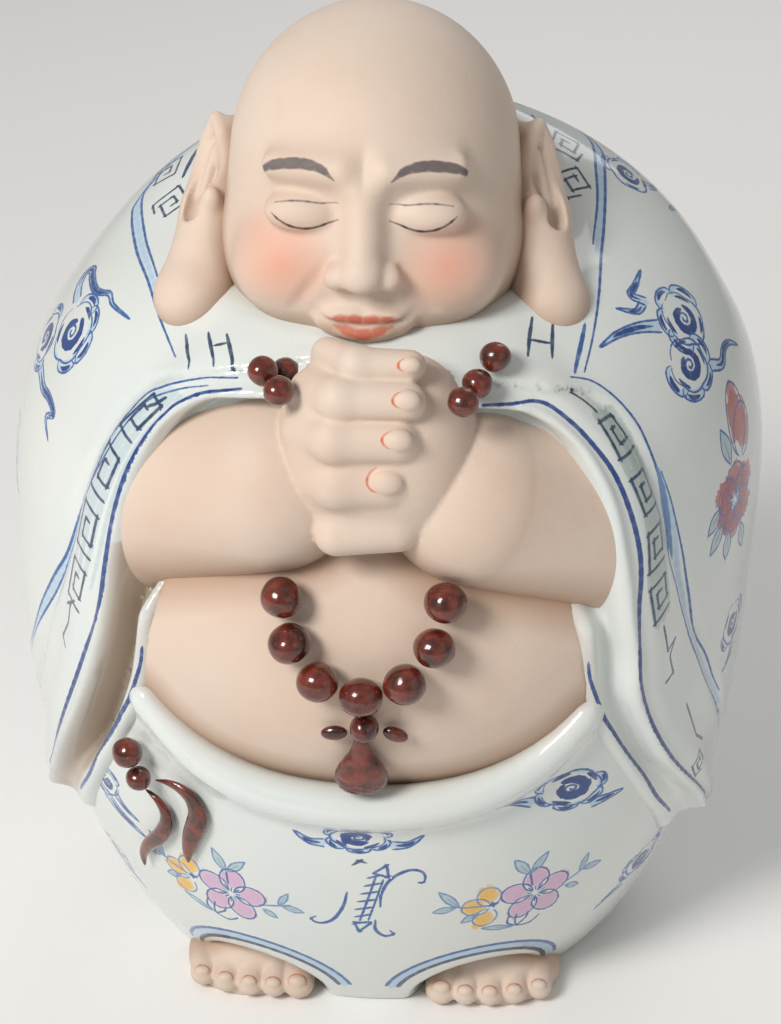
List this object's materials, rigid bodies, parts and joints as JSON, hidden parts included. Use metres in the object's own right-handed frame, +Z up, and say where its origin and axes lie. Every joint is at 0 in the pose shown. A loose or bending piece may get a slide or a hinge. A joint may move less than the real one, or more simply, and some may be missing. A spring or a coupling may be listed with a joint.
{
  "type": "porcelain budai figure",
  "caption": "Stout standing monk with clasped hands, bare belly and wide sleeves, cast hollow in porcelain, with luted beads, tassel and ribbons.",
  "frame": {"origin": "middle of the flat underside, under the figure's centre line", "axes": "+Z up, the face and belly to -Y, the figure's left hand to +X"},
  "size_m": [0.1896, 0.1686, 0.2563],
  "materials": {
    "glazed_porcelain": "gloss",
    "bisque": "matte",
    "brown_glaze": "gloss"
  },
  "bodies": {
    "root": {"figure": "glazed_porcelain", "necklace-bead-1": "brown_glaze", "necklace-bead-2": "brown_glaze", "necklace-bead-3": "brown_glaze", "necklace-bead-4": "brown_glaze", "necklace-bead-5": "brown_glaze", "necklace-bead-6": "brown_glaze", "necklace-bead-7": "brown_glaze", "neck-bead-right-1": "brown_glaze", "neck-bead-right-2": "brown_glaze", "neck-bead-right-3": "brown_glaze", "neck-bead-left-1": "brown_glaze", "neck-bead-left-2": "brown_glaze", "neck-bead-left-3": "brown_glaze", "drop-bead": "brown_glaze", "bow-loop-right": "brown_glaze", "bow-loop-left": "brown_glaze", "tassel": "brown_glaze", "waist-bead-upper": "brown_glaze", "waist-bead-lower": "brown_glaze", "waist-ribbon-front": "brown_glaze", "waist-ribbon-side": "brown_glaze"}
  },
  "joints": []
}
